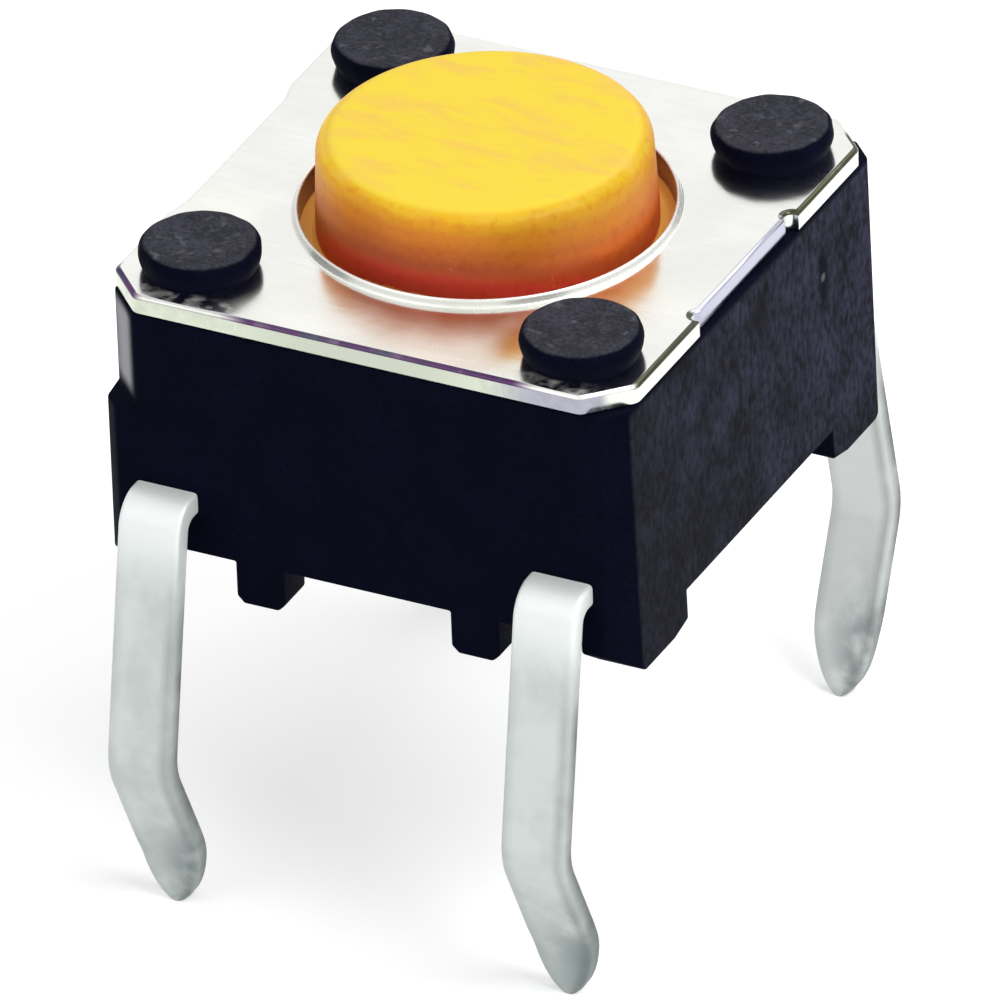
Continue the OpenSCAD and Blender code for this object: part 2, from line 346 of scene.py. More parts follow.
@dataclass(frozen=True)
class Moulding(Finish):
    """Black moulded plastic, with one smudge. One side and the tops of the pegs are greyer and grained; that
    greyness is painted light, and that side has painted shade just under the plate.
    """

    # Painted light: side is the grey of the +X side as the lamp there lights it; its grain is the moulding's own.
    side: Point3 = (31, 32, 42)
    # Painted sheen: top is the lighter grey of the peg tops where they catch the light; their blotches and pale
    # crumbs are the melted heads' own.
    top: Point3 = (66, 66, 76)
    pale: Point3 = (100, 100, 108)
    scraped: Point3 = (168, 169, 173)
    scraped_z: Point2 = (2.1, 2.3)
    # Painted shade: over this height the sides keep the dark colour, a painted shadow line just under the plate.
    under_plate_shade_z: float = 3.12
    smudge: Point3 = (3.0, 1.62, 2.36)
    smudge_spread: Point3 = (1.0, 3.4, 1.0)
    smudge_r: float = 0.5
    speck_r: float = 0.07
    grain_depth: float = 0.01

    def surface(self, graph: Graph, place: Value) -> Dict[str, Any]:
        """Varying inputs: see Finish.surface."""
        facing = graph.parts(graph.facing())
        across, along, height = graph.parts(place)
        fine = graph.noise(place, 24, 3)
        strands = graph.noise(place, 14, 3, (1, 1, 0.6))
        cloud = graph.noise(place, 1.7, 3)
        dark = (fine * 0.6 + cloud * 0.4).step(0.35, 0.75).mix(
            srgb(self.colour), srgb(self.colour, 1.5, 3))
        # Painted light on the +X side: lit is a painted light ramp, brighter towards the back and the top, and it
        # mixes the grain into lighter and darker greys of side.
        lit = (along * 0.7 + height * 0.5 + cloud * 8).step(2.2, 7.0) * 0.65 + 0.3
        grained = ((strands * 0.7 + cloud * 0.3).step(0.3, 0.7) * lit).mix(
            srgb(self.side, 0.5), srgb(self.side, 1.75))
        away = ((place - self.smudge) * self.smudge_spread).length()
        smudge = (away + fine * 0.5 - 0.25).step(self.smudge_r, 0.4 * self.smudge_r) * 0.95
        speck = (place - self.smudge).length().step(self.speck_r, 0.4 * self.speck_r) * 0.8
        grained = speck.mix(smudge.mix(grained, srgb(self.colour)), srgb(self.pale))
        # The painted light of the +X side is laid on faces that face +X. It stops just under the plate, which leaves
        # a line of painted shade there, and the scraped corner stops there too.
        side = facing[0].step(0.8, 0.98) * height.step(self.under_plate_shade_z + 0.02, self.under_plate_shade_z - 0.03)
        side = side * across.step(self.smudge[0] - 0.3, self.smudge[0] - 0.2)
        # Tops of the pegs: a painted sheen of lighter grey, broken by the melted blotches and pale crumbs of the
        # heads.
        blotch = (fine * 0.6 + graph.noise(place, 5, 3) * 0.4).step(0.38, 0.62)
        melted = blotch.mix(srgb(self.top, 0.72), srgb(self.top))
        crumbs = graph.noise(place, 6, 2).step(0.6, 0.74) * 0.6
        top = facing[2].step(0.75, 0.97) * height.step(PLATE_TOP + 0.02, PLATE_TOP + 0.12)
        corner = facing[0].step(-0.55, -0.68) * facing[1].step(-0.55, -0.68) * height.step(*self.scraped_z)
        corner = corner * (across - along).step(0.42, 0.08) * (across - along).step(-0.48, -0.3)
        colour = (corner * height.step(self.under_plate_shade_z + 0.05, self.under_plate_shade_z - 0.1)).mix(
            side.mix(dark, grained), srgb(self.scraped))
        return {
            "Base Color": top.mix(colour, crumbs.mix(melted, srgb(self.pale))),
            "Roughness": fine * 0.2 + (self.roughness - 0.1),
            "Normal": graph.bump(fine * 0.6 + strands * 0.5, self.grain_depth, 0.6),
        }


@dataclass(frozen=True)
class Plate(Finish):
    """Bright stamped metal with a faint grain, a painted dark reflection line on the roll of its outer edge, and
    painted shade on the wall of the button's hole.
    """

    # Painted reflection: the colours of the dark line on the roll of the outer edge, where the roll mirrors dark
    # surroundings. The middle colour is the lavender of the set-back stretch, on its roll and on its side.
    front_painted_reflection: Point3 = (16, 16, 68)
    warm_painted_reflection: Point3 = (70, 8, 84)
    side_painted_reflection: Point3 = (52, 52, 26)
    middle_tint: Point3 = (186, 186, 204)
    front_side: Point3 = (199, 206, 189)
    cool_side: Point3 = (164, 164, 176)
    right_side: Point3 = (224, 230, 220)
    # Painted shade: the dark brown of the wall of the button's hole, in shadow under its lip.
    hole_wall_painted_shade: Point3 = (118, 62, 52)
    dull_share: float = 0.5
    half: float = 2.975
    fade_x: float = 1.75
    line_x: Point2 = (-1.7, -1.2)
    left_line: Point2 = (0.55, 0.4)
    front_line: Point2 = (0.6, 0.4)
    right_line: Point2 = (0.35, 0.5)
    notch_y: float = 1.05
    dull_from: Point2 = (2.3, 3.0)
    dull_to: Point2 = (3.35, 3.0)
    dull_y: Point2 = (-0.4, -1.2)
    off_peg: Point2 = (0.7, 1.1)
    mottled: Point2 = (0.325, 0.145)

    def surface(self, graph: Graph, place: Value) -> Dict[str, Any]:
        """Varying inputs: see Finish.surface."""
        grain = graph.noise(place, 14, 3, (0.12, 1, 1))
        cloud = graph.noise(place, 1.3, 3)
        tone = (grain * 0.3 + cloud * 0.7).step(0.35, 0.7)
        colour = tone.mix(srgb(self.colour, lift=-9), srgb(self.colour))
        across, along = graph.parts(place)[:2]
        rim = (place * (1, 1, 0)).length()
        right = across.step(self.half - 0.3, self.half - 0.2)
        middle = (along * along).step(self.notch_y ** 2, self.notch_y ** 2 - 0.1) * right
        upright = graph.parts(graph.facing())[2].step(0.5, 0.2)
        cool = across.step(self.fade_x - 0.4, self.fade_x + 0.3)
        front_side = cool.mix(srgb(self.front_side), srgb(self.cool_side))
        from_front = along + self.half
        sheared = middle.mix(right.mix(front_side, srgb(self.right_side)), srgb(self.middle_tint))
        # The wall of the button's hole gets painted shade.
        sheared = rim.step(HOLE_R + 0.06, HOLE_R + 0.02).mix(sheared, srgb(self.hole_wall_painted_shade))
        # The painted dark reflection line on the roll: purple and blue along the front, olive on the right, lavender
        # on the set-back stretch, and fading where it is not seen.
        warm = graph.noise(place, 3, 3).step(0.36, 0.54)
        front_painted_reflection = warm.mix(srgb(self.front_painted_reflection), srgb(self.warm_painted_reflection))
        painted_reflection = middle.mix(right.mix(front_painted_reflection, srgb(self.side_painted_reflection)), srgb(self.middle_tint))
        front = from_front.step(*self.front_line) * across.step(self.fade_x + 0.35, self.fade_x)
        drawn = across.step(*self.line_x).larger((across + self.half).step(*self.left_line))
        seen = (front * (drawn * 0.8 + 0.2)).larger(right * from_front.step(*self.right_line)) * 0.9 + 0.06
        patches = graph.noise(place, 4, 2).step(0.2, 0.5) * 0.08 + 0.92
        beyond = (rim + cloud * 0.5).step(*self.dull_from) * rim.step(*self.dull_to)
        folded = graph.node("ShaderNodeVectorMath", {"operation": "ABSOLUTE"}, {0: place * (1, 1, 0)})
        off_peg = (folded - (PEG_PITCH / 2, PEG_PITCH / 2, 0)).length().step(*self.off_peg)
        mottle = graph.noise(place, 7, 2).step(0.35, 0.75) * from_front.step(*self.mottled) * 0.7
        dull = (beyond * along.step(*self.dull_y) * off_peg).larger(mottle)
        dull = dull.larger(rim.step(HOLE_R + 0.085, HOLE_R + 0.06))
        return {
            "Base Color": (graph.mark().step(0.3, 0.7) * patches * seen).mix(upright.mix(colour, sheared), painted_reflection),
            "Metallic": 1 - dull * self.dull_share,
            "Roughness": grain * 0.05 + cloud * 0.06 + dull * 0.12 + (self.roughness - 0.06),
            "Normal": graph.bump(grain * 0.5 + cloud, 0.002, 0.4),
        }


@dataclass(frozen=True)
class Terminal(Finish):
    """Tinned metal, satin, with faint soft patches, painted light on the upper legs and the back legs, and painted
    shade darkening one sheared edge of each leg.
    """

    patch: Point3 = (188, 194, 191)
    # Painted light: bright is the lighter tin laid on the legs' upper parts, under the body's shadow, and on the
    # back legs' inner faces, which are in shade.
    bright: Point3 = (243, 248, 246)
    # Painted shade: edge is the dark laid along the right edge of each leg.
    edge: Point3 = (70, 78, 74)
    soil: Point3 = (112, 127, 128)
    painted_light_z: Point2 = (0.2, 1.0)
    painted_light_y: Point2 = (2.6, 3.0)
    edge_shade_z: Point2 = (0.8, -0.4)
    soil_z: Point2 = (-1.9, -3.2)

    def surface(self, graph: Graph, place: Value) -> Dict[str, Any]:
        """Varying inputs: see Finish.surface."""
        grain = graph.noise(place, 22, 3, (1, 1, 0.5))
        cloud = graph.noise(place, 1.6, 2, (1, 1, 0.6))
        speckle = graph.noise(place, 7, 4)
        colour = ((cloud * 0.7 + speckle * 0.3).step(0.4, 0.7) * 0.6).mix(srgb(self.colour), srgb(self.patch))
        across, along, height = graph.parts(place)
        # Painted light on the upper parts of the legs and on the back legs.
        colour = height.step(*self.painted_light_z).larger(along.step(*self.painted_light_y) * 0.7).mix(colour, srgb(self.bright))
        beside = graph.node("ShaderNodeMath", {"operation": "WRAP"}, {0: across, 1: LEG_PITCH, 2: 0.0})
        soiled = ((beside - LEG_PITCH / 2).step(-0.25, 0.3) * 0.75 + 0.25) * height.step(*self.soil_z)
        soiled = soiled * graph.noise(place, 2.6, 4).step(0.2, 0.6)
        colour = (soiled * 0.9).mix(colour, srgb(self.soil))
        # Painted shade along one edge of each leg, stronger lower down, where the mesh's mark sets it.
        edge_shade = graph.mark() * (graph.noise(place, 2, 2).step(0.2, 0.7) * 0.4 + 0.6) * height.step(*self.edge_shade_z)
        return {
            "Base Color": edge_shade.mix(colour, srgb(self.edge)),
            "Roughness": grain * 0.08 + cloud * 0.12 + (self.roughness - 0.1),
            "Normal": graph.bump(grain * 0.3 + cloud, 0.003, 0.4),
        }


@dataclass(frozen=True)
class Sheet(Finish):
    """Plain polished spring sheet."""

    def surface(self, graph: Graph, place: Value) -> Dict[str, Any]:
        """Varying inputs: see Finish.surface."""
        grain = graph.noise(place, 12, 2)
        return {
            "Base Color": grain.mix(srgb(self.colour, lift=-14), srgb(self.colour)),
            "Roughness": grain * 0.1 + self.roughness,
        }


@dataclass(frozen=True)
class ButtonPlastic(Finish):
    """Yellow plastic that deepens to orange and red down its side, with faint streaks on the top; its sides get
    painted shade and light, and its flange a painted glow.
    """

    # Painted light: flange is a lightened yellow for the flange in the shaded gap, and glow makes that part glow.
    flange: Point3 = (250, 190, 84)
    glow: Point3 = (106, 70, 28)
    streak: Point3 = (240, 190, 92)
    bow: float = 0.14
    # Painted shade on the upper +X side and painted light on the -X side and on the lower +X side, as colour
    # factors.
    shade: Point3 = (0.84, 0.93, 0.62)
    shade_z: Point2 = (3.6, 4.0)
    lift: Point3 = (1.3, 1.5, 1.1)
    low_right_painted_light: Point3 = (1.25, 1.14, 1.2)
    low_right_painted_light_z: Point2 = (3.8, 3.5)
    grain_tint: Point3 = (0.94, 0.82, 0.78)
    stops: Tuple[Tuple[float, Point3], ...] = (
        (3.25, (206, 70, 50)), (3.46, (202, 66, 46)), (3.65, (174, 80, 36)), (3.83, (196, 102, 34)),
        (4.03, (220, 130, 36)), (4.2, (232, 160, 32)), (4.27, (238, 186, 32)), (4.302, (243, 214, 58)))

    def surface(self, graph: Graph, place: Value) -> Dict[str, Any]:
        """Varying inputs: see Finish.surface."""
        across, _, height = graph.parts(place)
        depth = (BUTTON_TOP - height) * (1 + self.bow - across * across * self.bow)
        level = BUTTON_TOP - depth + graph.noise(place, 1.1, 2) * 0.14 + graph.noise(place, 8, 3) * 0.08 - 0.1
        level = height.step(BUTTON_TOP - 0.06, BUTTON_TOP - 0.01) * (height - level) + level
        colour: Operand = srgb(self.flange)
        low = PLATE_LOW + 0.02
        for high, tint in self.stops:
            colour = level.step(low, high).mix(colour, srgb(tint))
            low = high
        facing = graph.parts(graph.facing())
        upright = facing[2].step(0.98, 0.8)
        # Painted shade and light by the way each side faces: the first factor darkens the upper +X side, the next
        # two lighten the -X side and the lower +X side; the last is a random tint.
        tints = (
            (facing[0].step(0.1, 0.7) * height.step(*self.shade_z), self.shade),
            (facing[0].step(-0.2, -0.7), self.lift),
            (facing[0].step(0.3, 0.8) * height.step(*self.low_right_painted_light_z), self.low_right_painted_light),
            (graph.noise(place, 10, 3).step(0.5, 0.7), self.grain_tint),
        )
        for share, tint in tints:
            colour = colour * (share * upright).mix(WHITE, opaque(tint))
        streaks = graph.noise(place, 5, 4, (0.3, 1, 1)).step(0.45, 0.72) * 0.6
        flecks = graph.noise(place, 17, 2).step(0.66, 0.78) * 0.16
        colour = (streaks * height.step(BUTTON_TOP - 0.12, BUTTON_TOP)).mix(colour, srgb(self.streak))
        # Painted glow: the flange in the shaded gap under the plate is lightened and glows.
        painted_glow_zone = height.step(PLATE_TOP - 0.15, PLATE_TOP - 0.2)
        colour = painted_glow_zone.mix(colour, srgb(self.flange))
        return {
            "Base Color": (flecks - painted_glow_zone * flecks).mix(colour, srgb(self.streak)),
            "Emission Color": painted_glow_zone.mix(BLACK, srgb(self.glow)),
            "Emission Strength": 1.0,
            "Roughness": graph.noise(place, 9, 2) * 0.16 + (self.roughness - 0.08),
            "Normal": graph.bump(graph.noise(place, 12, 3), 0.004, 0.4),
        }


# Outlines and solids


def sin(degrees: float) -> float:
    """Sine of an angle in degrees."""
    return math.sin(math.radians(degrees))


def cos(degrees: float) -> float:
    """Cosine of an angle in degrees."""
    return math.cos(math.radians(degrees))


def tan(degrees: float) -> float:
    """Tangent of an angle in degrees."""
    return math.tan(math.radians(degrees))


def heading(azimuth: float, elevation: float) -> Vector:
    """Direction from the middle towards a viewer, from two angles in degrees."""
    return Vector((sin(azimuth) * cos(elevation), -cos(azimuth) * cos(elevation), sin(elevation)))


def arc(centre: Point2, radius: float, start: float, end: float, steps: int) -> List[Point2]:
    """Points on an arc between two angles in degrees, with both ends. A radius under 0 is the far side."""
    turns = [math.radians(start + (end - start) * i / steps) for i in range(steps + 1)]
    return [(centre[0] + radius * math.cos(t), centre[1] + radius * math.sin(t)) for t in turns]


def circle(centre: Point2, radius: float, steps: int) -> List[Point2]:
    """Closed circle, as a ring of points."""
    return arc(centre, radius, 0, 360, steps)[:-1]


def inset(loop: Sequence[Point2], depth: float) -> List[Point2]:
    """A closed anticlockwise outline, moved inwards by a depth.

    Args:
        loop: The outline.
        depth: How far each side moves in.

    Returns:
        The new outline, point for point.
    """
    made = []
    for i, here in enumerate(loop):
        before, after = Vector(loop[i - 1]), Vector(loop[(i + 1) % len(loop)])
        into, out = (Vector(here) - before).normalized(), (after - Vector(here)).normalized()
        normal = Vector((-(into.y + out.y), into.x + out.x)).normalized()
        share = max(0.35, normal.dot(Vector((-out.y, out.x))))
        moved = Vector(here) + normal * (depth / share)
        made.append((moved.x, moved.y))
    return made


def softened(loop: Sequence[Point2], radius: float, steps: int = 3) -> List[Point2]:
    """A closed outline with each corner rounded.

    Args:
        loop: The outline.
        radius: Distance from each corner to where its rounding starts.
        steps: Stretches in each rounding.

    Returns:
        The rounded outline.
    """
    made = []
    for i, here in enumerate(loop):
        corner = Vector(here)
        start = corner + (Vector(loop[i - 1]) - corner).normalized() * radius
        end = corner + (Vector(loop[(i + 1) % len(loop)]) - corner).normalized() * radius
        for k in range(steps + 1):
            t = k / steps
            point = (1 - t) ** 2 * start + 2 * t * (1 - t) * corner + t * t * end
            made.append((point.x, point.y))
    return made


def cut_square(half: float, cuts: Sequence[float], corner_half: Optional[float] = None) -> List[Point2]:
    """Anticlockwise square with its corners cut.

    Args:
        half: Half of its width.
        cuts: Cut across the corners (-x, -y), (+x, -y), (+x, +y) and (-x, +y).
        corner_half: Half of the width that the cuts are measured from, where it isn't half.

    Returns:
        The eight points.
    """
    full = half if corner_half is None else corner_half
    made = []
    for (sx, sy), cut in zip(((-1, -1), (1, -1), (1, 1), (-1, 1)), cuts):
        near = 2 * full - cut - half
        along_x, along_y = (sx * near, sy * half), (sx * half, sy * near)
        made += [along_y, along_x] if sx == sy else [along_x, along_y]
    return made


class Solid:
    """A closed mesh in the making, in millimetres."""

    MARK = "mark"

    def __init__(self) -> None:
        """Starts with nothing."""
        self.points: List[Point3] = []
        self.marks: List[float] = []
        self.faces: List[Tuple[int, ...]] = []

    def ring(self, points: Sequence[Point3], mark: float = 0.0) -> List[int]:
        """Adds a ring of points and gives their places in the mesh."""
        first = len(self.points)
        self.points += [tuple(p) for p in points]
        self.marks += [mark] * len(points)
        return list(range(first, len(self.points)))

    def bridge(self, rings: Sequence[List[int]]) -> None:
        """Walls between each ring and the next."""
        for low, high in zip(rings, rings[1:]):
            for i in range(len(low)):
                j = (i + 1) % len(low)
                self.faces.append((low[i], low[j], high[j], high[i]))

    def cap(self, rings: Sequence[List[int]]) -> None:
        """Flat face inside the first ring and outside the others."""
        order = [i for ring in rings for i in ring]
        loops = [[Vector(self.points[i]) for i in ring] for ring in rings]
        self.faces += [tuple(order[k] for k in face) for face in tessellate_polygon(loops)]

    def loft(self, rings: Sequence[List[int]]) -> None:
        """Walls through the rings, with a face at each end."""
        self.bridge(rings)
        self.faces += [tuple(rings[0]), tuple(rings[-1])]

    def lathe(self, profile: Sequence[Point2], centre: Point2 = (0, 0), steps: int = 128) -> None:
        """Turns a profile about a line along Z.

        Args:
            profile: Radius and height of each point. It starts and ends on the axis.
            centre: Where the axis stands.
            steps: Stretches round the axis.
        """
        def at(radius: float, height: float) -> List[Point3]:
            """One ring of the turned profile."""
            return [(x, y, height) for x, y in circle(centre, radius, steps)]

        rings = [self.ring(at(r, z)) for r, z in profile[1:-1]]
        self.bridge(rings)
        for end, ring in ((profile[0], rings[0]), (profile[-1], rings[-1])):
            pole = self.ring([(centre[0], centre[1], end[1])])[0]
            self.faces += [(ring[i - 1], ring[i], pole) for i in range(steps)]

    def prism(self, loop: Sequence[Point2], axis: int, low: float, high: float) -> None:
        """Solid between two planes across an axis.

        Args:
            loop: Outline on the two other axes, in the order X, Y, Z.
            axis: 0, 1 or 2 for X, Y or Z.
            low: First plane.
            high: Second plane.
        """
        def lift(point: Point2, level: float) -> Point3:
            """A point of the outline at that level."""
            made = list(point)
            made.insert(axis, level)
            return (made[0], made[1], made[2])

        self.loft([self.ring([lift(p, level) for p in loop]) for level in (low, high)])

    def mesh(self, name: str) -> bpy.types.Object:
        """Object in the scene, still in millimetres."""
        data = bpy.data.meshes.new(name)
        data.from_pydata(self.points, [], self.faces)
        data.attributes.new(self.MARK, "FLOAT", "POINT").data.foreach_set("value", self.marks)
        work = bmesh.new()
        work.from_mesh(data)
        bmesh.ops.recalc_face_normals(work, faces=work.faces)
        work.to_mesh(data)
        work.free()
        return linked(name, data)


def linked(name: str, data: bpy.types.ID) -> bpy.types.Object:
    """A new object in the scene, with that data."""
    made = bpy.data.objects.new(name, data)
    bpy.context.scene.collection.objects.link(made)
    return made


def settle(target: bpy.types.Object) -> None:
    """Makes what the target's modifiers do part of its mesh."""
    bpy.context.view_layer.update()
    made = bpy.data.meshes.new_from_object(target.evaluated_get(bpy.context.evaluated_depsgraph_get()))
    target.modifiers.clear()
    target.data = made


def cut(target: bpy.types.Object, tool: Solid) -> None:
    """Takes a solid away from the target."""
    cutter = tool.mesh("cutter")
    change = target.modifiers.new("cut", "BOOLEAN")
    change.operation, change.solver, change.object = "DIFFERENCE", "EXACT", cutter
    settle(target)
    bpy.data.objects.remove(cutter)


def soften(target: bpy.types.Object, width: float, angle: float = 35.0) -> None:
    """Rounds the edges of the target that are sharper than an angle, in degrees."""
    change = target.modifiers.new("soften", "BEVEL")
    change.width, change.segments, change.angle_limit = width, 3, math.radians(angle)
    change.limit_method, change.harden_normals = "ANGLE", False
    settle(target)


@dataclass
class Piece:
    """What every piece of the switch shares: who it stands for, what it rides on and its finish."""

    node: str
    body: Body
    slot: Slot
    finish: Finish

    def build(self) -> bpy.types.Object:
        """The piece's mesh, in millimetres."""
        raise NotImplementedError

    def place(self) -> bpy.types.Object:
        """Builds the piece, dresses it and sets it on its body.

        Returns:
            The finished piece.
        """
        piece = self.build()
        piece.data.transform(Matrix.Scale(MM, 4))
        piece.data.materials.clear()
        piece.data.materials.append(self.finish.material())
        piece.data.shade_smooth()
        piece.data.set_sharp_from_angle(angle=math.radians(SHARP_ANGLE))
        weigh = piece.modifiers.new("weigh", "WEIGHTED_NORMAL")
        weigh.keep_sharp = True
        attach(piece, self.body.value)
        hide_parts(self.node)
        log.info("%s: %d faces", piece.name, len(piece.data.polygons))
        return piece


@dataclass
class Base(Piece):
    """The black moulding: block, feet, cavity and the four melted pegs."""

    width: float = 6.0
    height: float = PLATE_LOW
    underside: float = 0.48
    corner: float = 0.3
    mark_foot_corner: float = 0.2
    mark_corner: float = 0.46
    ledge_z: float = 2.07
    ledge_fall: float = 0.051
    lean: float = 0.03
    foot_w: float = 0.55
    foot_d: float = 0.48
    foot_pitch: float = 2.45
    foot_edge: float = 0.08
    corner_foot_w: float = 0.56
    corner_foot_l: float = 1.33
    corner_rise: float = 0.08
    relief: float = 0.35
    relief_l: float = 0.36
    end_l: float = 0.32
    end_h: float = 0.07
    cavity_r: float = 2.4
    stem_r: float = 0.45
    head_r: float = 0.65
    head_h: float = 0.31
    head_round: float = 0.11
    waist: float = 0.07
    waist_h: float = 0.185
    flare: Tuple[Point2, ...] = ((0.25, 0.15), (0.65, 0.45), (0.9, 0.75), (1.0, 1.0))
    root: float = 0.06
    peg_steps: int = 72
    cavity_steps: int = 96
    wave_counts: Tuple[int, ...] = (2, 3, 5, 9, 14)
    dish: float = 0.03
    wander: float = 0.055
    twist: float = 500.0
    edge: float = 0.03
    dice: random.Random = field(default_factory=lambda: random.Random(5))

    def block(self) -> Solid:
        """The block with its leaning sides, and the deeper cut at the top of one corner."""
        half = self.width / 2
        plain = [self.mark_foot_corner] + [self.corner] * 3
        marked = [self.mark_corner] + plain[1:]
        levels = (
            (0.0, plain),
            (self.ledge_z - self.ledge_fall, plain),
            (self.ledge_z, marked),
            (self.height, marked),
        )
        solid = Solid()
        rings = []
        for z, cuts in levels:
            loop = cut_square(half - self.lean * z / self.height, cuts, half)
            rings.append(solid.ring([(x, y, z) for x, y in loop]))
        solid.loft(rings)
        return solid

    def openings(self) -> List[Solid]:
        """What is taken away under the block, so that its feet are left."""
        half, top, far = self.width / 2, self.underside, self.width
        side, bevel, low = half - self.corner_foot_w, self.foot_edge, self.corner_rise
        near, past = (self.foot_pitch - self.foot_w) / 2, (self.foot_pitch + self.foot_w) / 2
        deep = half - self.foot_d
        made = [self._across(1, [(side, -far), (side, top)], -deep, deep),
                self._across(1, [(near + bevel, -far), (near + bevel, 0), (near, bevel), (near, top)], -far, far)]
        beside = [(past - bevel, -far), (side, -far), (side, top), (past, top), (past, bevel), (past - bevel, 0)]
        inner = half - self.corner_foot_l
        under = [(inner, top), (inner, low + self.end_h), (inner + self.end_l, low),
                 (half - self.relief_l, low), (half, self.relief), (far, self.relief), (far, -far)]
        for sign in (-1, 1):
            gap = Solid()
            gap.prism([(sign * x, z) for x, z in beside], 1, -far, far)
            left, right = sorted((sign * side, sign * far))
            made += [gap, self._across(0, under, left, right)]
        return made

    @staticmethod
    def _across(axis: int, side: Sequence[Point2], low: float, high: float) -> Solid:
        """Prism between two planes, from the right half of its outline."""
        made = Solid()
        made.prism(list(side) + [(-x, z) for x, z in reversed(side)], axis, low, high)
        return made

    def peg(self, solid: Solid, x: float, y: float) -> None:
        """Adds one peg with its melted head, whose edge wanders a little."""
        top, foot = PLATE_TOP, self.head_r - self.waist
        crown = arc((self.head_r - self.head_round, top + self.head_h - self.head_round), self.head_round, 0, 90, 6)
        root = self.height - self.root
        profile = [(0, root), (self.stem_r, root), (self.stem_r, top), (foot, top)]
        profile += [(foot + out * self.waist, top + up * self.waist_h) for out, up in self.flare]
        profile += crown + [(self.stem_r, top + self.head_h - self.dish / 2), (0, top + self.head_h - self.dish)]
        first = len(solid.points)
        solid.lathe(profile, (x, y), self.peg_steps)
        waves = [(count, self.dice.uniform(0, 360), self.dice.uniform(0.4, 1)) for count in self.wave_counts]
        for i in range(first, len(solid.points)):
            px, py, pz = solid.points[i]
            if pz > top + 0.01:
                turn, climb = math.degrees(math.atan2(py - y, px - x)), self.twist * (pz - top)
                rise = sum(size * (1 + sin(count * turn + at + climb)) for count, at, size in waves)
                share = 1 - self.wander * rise / (2 * len(waves))
                solid.points[i] = (x + (px - x) * share, y + (py - y) * share, pz)

    def build(self) -> bpy.types.Object:
        """The moulding's mesh: see Piece.build."""
        made = self.block().mesh(self.node + "_moulding")
        for tool in self.openings():
            cut(made, tool)
        cavity = Solid()
        cavity.lathe([(0, CAVITY_FLOOR), (self.cavity_r, CAVITY_FLOOR), (self.cavity_r, 2 * self.height),
                      (0, 2 * self.height)], steps=self.cavity_steps)
        cut(made, cavity)
        soften(made, self.edge)
        pegs = Solid()
        for x in (-1, 1):
            for y in (-1, 1):
                self.peg(pegs, x * PEG_PITCH / 2, y * PEG_PITCH / 2)
        heads = pegs.mesh("pegs")
        work = bmesh.new()
        work.from_mesh(made.data)
        work.from_mesh(heads.data)
        work.to_mesh(made.data)
        work.free()
        bpy.data.objects.remove(heads)
        return made


@dataclass
class Cover(Piece):
    """The stamped plate."""

    width: float = 5.95
    thick: float = 0.22
    corner: float = 0.44
    peg_hole_r: float = 0.49
    setback: float = 0.07
    notch_pitch: float = 2.1
    notch_r: float = 0.09
    ramp_pitch: float = 2.45
    ramp_l: float = 0.28
    lip_h: float = 0.085
    lip_w: float = 0.07
    roll: float = 0.055
    burr: float = 0.02
    apron: float = 0.008
    hole_steps: int = 144
    peg_hole_steps: int = 48

    def outline(self) -> List[Point2]:
        """The plate's edge, with the set-back stretch and its notches on two sides."""
        half = self.width / 2
        cuts = softened(cut_square(half, [self.corner] * 4), 0.05)
        split = len(cuts) // 2
        lean = math.degrees(math.asin(self.setback / 2 / self.notch_r))
        centre = (half - self.setback / 2, -self.notch_pitch / 2)
        low = arc(centre, self.notch_r, lean - 90, lean - 270, 8)
        right = low + [(x, -y) for x, y in reversed(low)]
        inner, outer = (self.ramp_pitch - self.ramp_l) / 2, (self.ramp_pitch + self.ramp_l) / 2
        ramp = [(-half, outer), (self.setback - half, inner)]
        left = ramp + [(x, -y) for x, y in reversed(ramp)]
        return cuts[:split] + right + cuts[split:] + left

    def lip(self) -> List[Point2]:
        """Profile of the lip round the button's hole: distance from the hole, and height over the plate."""
        rim = 0.4 * self.lip_w
        inner = arc((rim, self.lip_h - rim), rim, 180, 90, 4)
        spread = 0.7 * self.lip_w
        shares = (0.15, 0.3, 0.45, 0.6, 0.75, 0.9, 1)
        return inner + [(rim + spread * t, self.lip_h * (1 + cos(180 * t)) / 2) for t in shares]

    def build(self) -> bpy.types.Object:
        """The plate's mesh: see Piece.build."""
        low, top = PLATE_LOW, PLATE_LOW + self.thick
        roll, burr = self.roll, self.burr
        solid = Solid()
        # The third number of each step is its mark; on the roll it carries the painted dark reflection line.
        outer_steps = ((burr, low, 0.0), (0.0, low + burr, 0.0), (0.0, top - 0.75 * roll, 0.0),
                       (0.0, top - 0.65 * roll, 1.0), (0.14 * roll, top - 0.35 * roll, 1.0),
                       (0.4 * roll, top - 0.1 * roll, 1.0), (0.8 * roll, top, 0.8), (1.15 * roll, top, 0.0))
        outline = self.outline()
        outer = [solid.ring([(x, y, z) for x, y in inset(outline, d)], m) for d, z, m in outer_steps]
        solid.bridge(outer)
        low_rings, top_rings = [outer[0]], [outer[-1]]
        half_pitch = PEG_PITCH / 2
        corners = [(x * half_pitch, y * half_pitch) for x in (-1, 1) for y in (-1, 1)]
        holes = [((0.0, 0.0), HOLE_R, self.lip(), self.hole_steps)]
        for corner in corners:
            holes.append((corner, self.peg_hole_r, [(0.0, -burr), (burr, 0.0)], self.peg_hole_steps))
        for centre, radius, rim, steps in holes:
            levels = [(burr, low - top), (0.0, low + burr - top)] + rim + [(rim[-1][0] + self.apron, 0.0)]
            rings = []
            for out, z in levels:
                rings.append(solid.ring([(x, y, top + z) for x, y in circle(centre, radius + out, steps)]))
            solid.bridge(rings)
            low_rings.append(rings[0])
            top_rings.append(rings[-1])
        solid.cap(low_rings)
        solid.cap(top_rings)
        return solid.mesh(self.node + "_plate")


